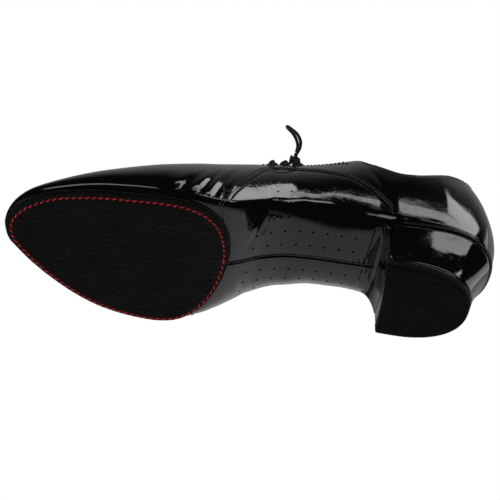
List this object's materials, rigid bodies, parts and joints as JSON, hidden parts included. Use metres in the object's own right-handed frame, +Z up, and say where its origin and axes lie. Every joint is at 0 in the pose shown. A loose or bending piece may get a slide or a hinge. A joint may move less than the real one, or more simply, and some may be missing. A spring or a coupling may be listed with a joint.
{
  "type": "dance shoe",
  "caption": "Right-foot laced split-sole dance shoe in black patent leather, with perforated arch panels, a suede forefoot outsole with red lockstitch and a covered block heel.",
  "frame": {"origin": "On the floor, in the middle of the lower face of the heel's top piece.", "axes": "+X runs from the heel to the toe, +Y to the wearer's left, which is the arch side of this right shoe, and +Z up from the floor."},
  "size_m": [0.301, 0.0947, 0.1152],
  "materials": {
    "patent": "gloss",
    "suede": "matte",
    "textile": "matte",
    "board": "matte",
    "foam": "matte",
    "plastic": "matte",
    "steel": "satin",
    "enamel": "gloss",
    "lace_textile": "matte",
    "thread": "satin"
  },
  "bodies": {
    "waist": {"arch_centre_seam": "patent", "arch_lining_lateral": "textile", "arch_lining_medial": "textile", "arch_panel_lateral": "patent", "arch_panel_medial": "patent", "eyelet_lateral_1": "enamel", "eyelet_lateral_2": "enamel", "eyelet_lateral_3": "enamel", "eyelet_medial_1": "enamel", "eyelet_medial_2": "enamel", "eyelet_medial_3": "enamel", "lace": "lace_textile", "lace_end_front": "lace_textile", "lace_end_rear": "lace_textile", "lace_knot": "lace_textile", "lace_loop_lateral": "lace_textile", "lace_loop_medial": "lace_textile", "lace_tip_front": "enamel", "lace_tip_rear": "enamel", "tongue": "textile"},
    "forefoot": {"vamp": "patent", "vamp_lining": "textile", "toe_puff": "board", "outsole_suede": "suede", "outsole_stitching": "thread", "forefoot_filler": "board", "forefoot_insole": "board", "forefoot_cushion": "foam", "forefoot_sock": "textile"},
    "rearfoot": {"quarter_medial": "patent", "quarter_lateral": "patent", "quarter_lining_medial": "textile", "quarter_lining_lateral": "textile", "heel_counter": "board", "topline_binding": "patent", "heel_seat_board": "board", "heel_cushion": "foam", "heel_sock": "textile", "heel_block": "plastic", "heel_cover": "patent", "heel_top_piece": "suede", "heel_nail_1": "steel", "heel_nail_2": "steel", "heel_nail_3": "steel", "heel_nail_4": "steel", "heel_screw": "steel"}
  },
  "joints": [
    {"name": "toe_flex", "type": "hinge", "parent": "waist", "child": "forefoot", "pos_m": [0.158, 0, 0.004], "axis": [0, -1, 0], "range_deg": [0, 30], "stiffness_Nm_per_rad": 2.5, "deforming": ["vamp", "vamp_lining", "outsole_suede", "outsole_stitching", "forefoot_filler", "forefoot_insole", "forefoot_cushion", "forefoot_sock"]},
    {"name": "arch_flex", "type": "hinge", "parent": "waist", "child": "rearfoot", "pos_m": [0.053, 0, 0.05], "axis": [0, -1, 0], "range_deg": [-12, 22], "stiffness_Nm_per_rad": 1.5, "deforming": ["quarter_medial", "quarter_lateral", "quarter_lining_medial", "quarter_lining_lateral", "arch_panel_medial", "arch_panel_lateral", "arch_lining_medial", "arch_lining_lateral", "arch_centre_seam", "tongue"]}
  ]
}
